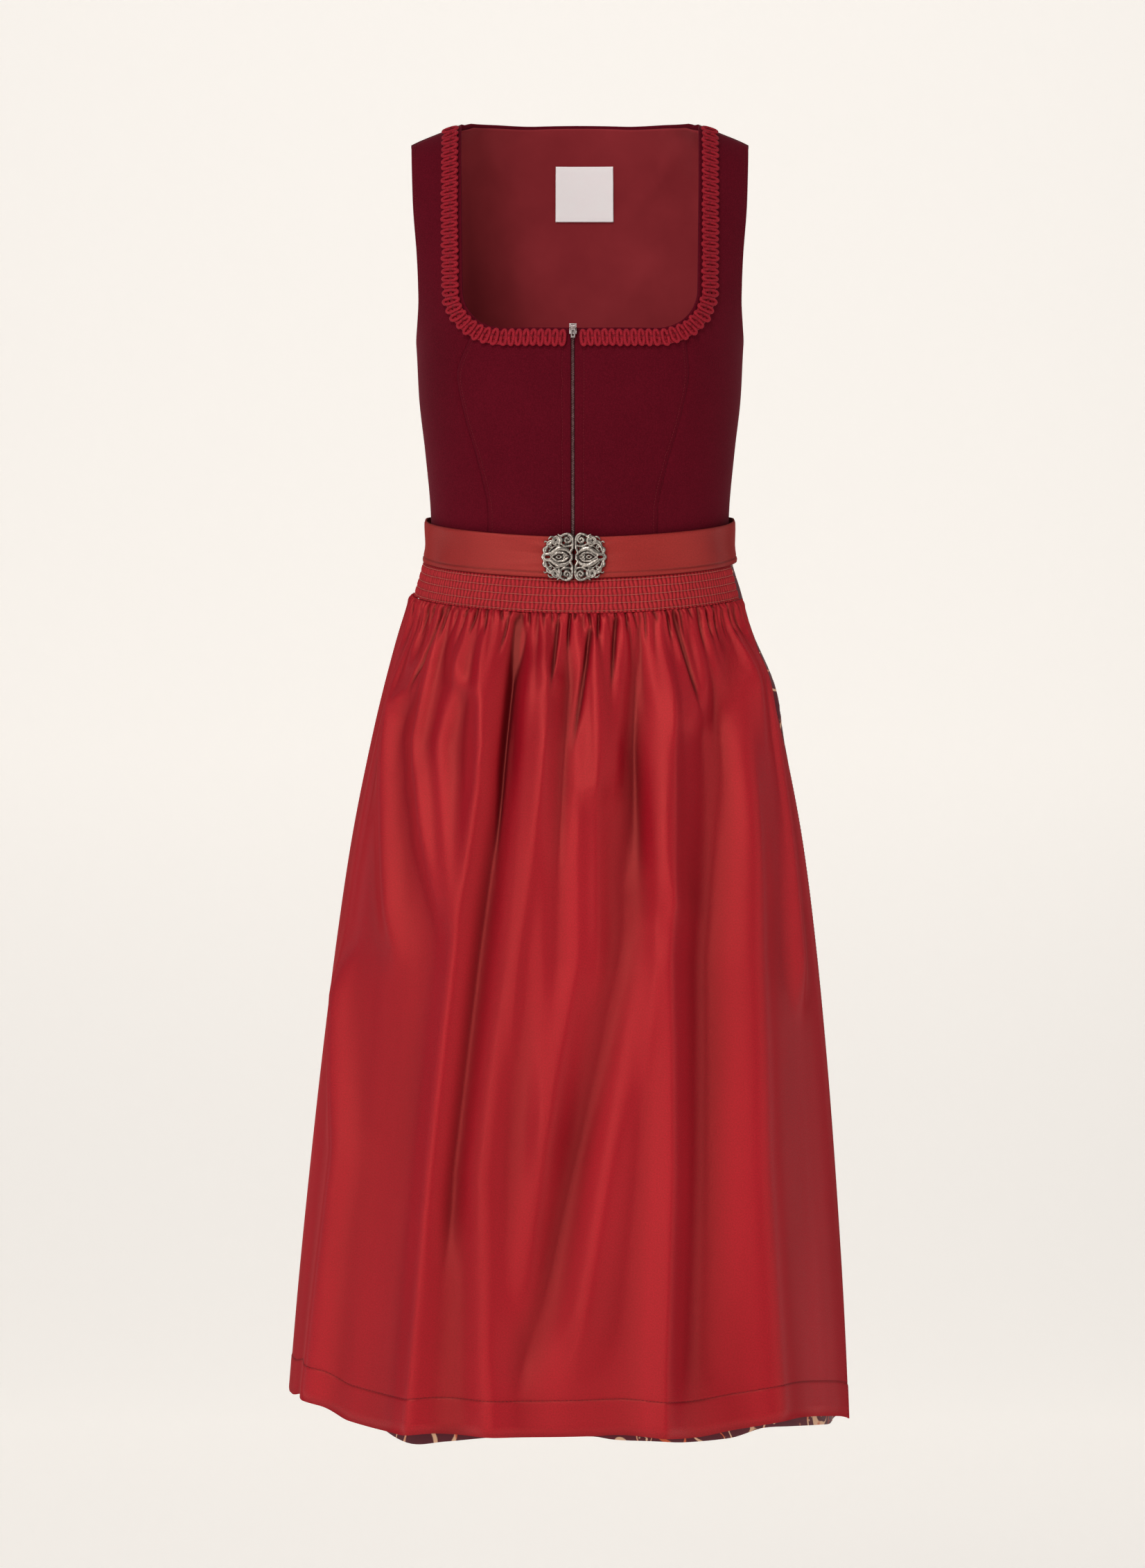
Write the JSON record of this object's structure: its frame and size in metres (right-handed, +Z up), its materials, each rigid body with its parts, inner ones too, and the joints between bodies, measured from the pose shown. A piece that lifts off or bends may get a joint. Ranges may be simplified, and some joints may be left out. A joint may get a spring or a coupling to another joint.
{
  "type": "dirndl with apron",
  "caption": "Worn-form folk dress: square-necked zipped bodice with braid, belt with clasp, smocked and gathered apron over a full skirt, hollow and open at neck, armholes and hem.",
  "frame": {"origin": "midway between the two shoulder seams, at mid shoulder height, where a wearer's shoulders hold the dress up", "axes": "+Z up, front of the dress facing -Y, +X to the viewer's right"},
  "size_m": [0.4959, 0.3887, 1.1579],
  "materials": {
    "felt": "burgundy wool-like felt with a fine nap",
    "braid": "red cord gimp",
    "lining": "brick red cotton",
    "label": "blank pale woven label",
    "belt": "rust red satin",
    "smock": "smocked red satin",
    "apron": "crimson shot taffeta",
    "print": "maroon printed cotton",
    "tape": "woven zip tape with metal teeth",
    "old_silver": "darkened silver"
  },
  "bodies": {
    "dress": {"bodice_front_centre_left": "felt", "bodice_front_centre_right": "felt", "bodice_front_side_left": "felt", "bodice_front_side_right": "felt", "bodice_back_side_left": "felt", "bodice_back_side_right": "felt", "bodice_back_centre": "felt", "back_lining": "lining", "label": "label", "neck_braid_left": "braid", "neck_braid_right": "braid", "zip_tape_left": "tape", "zip_tape_right": "tape", "zip_slider": "old_silver", "apron_belt": "belt", "clasp_left": "old_silver", "clasp_right": "old_silver", "apron_smocking": "smock", "apron_panel": "apron", "skirt_front": "print", "skirt_back": "print"},
    "zip_pull": {"zip_pull": "old_silver"}
  },
  "joints": [
    {"name": "zip_pull_swing", "type": "hinge", "parent": "dress", "child": "zip_pull", "pos_m": [-0.00627, -0.11512, -0.18731], "axis": [-1, 0, 0], "range_deg": [0, 160]}
  ]
}
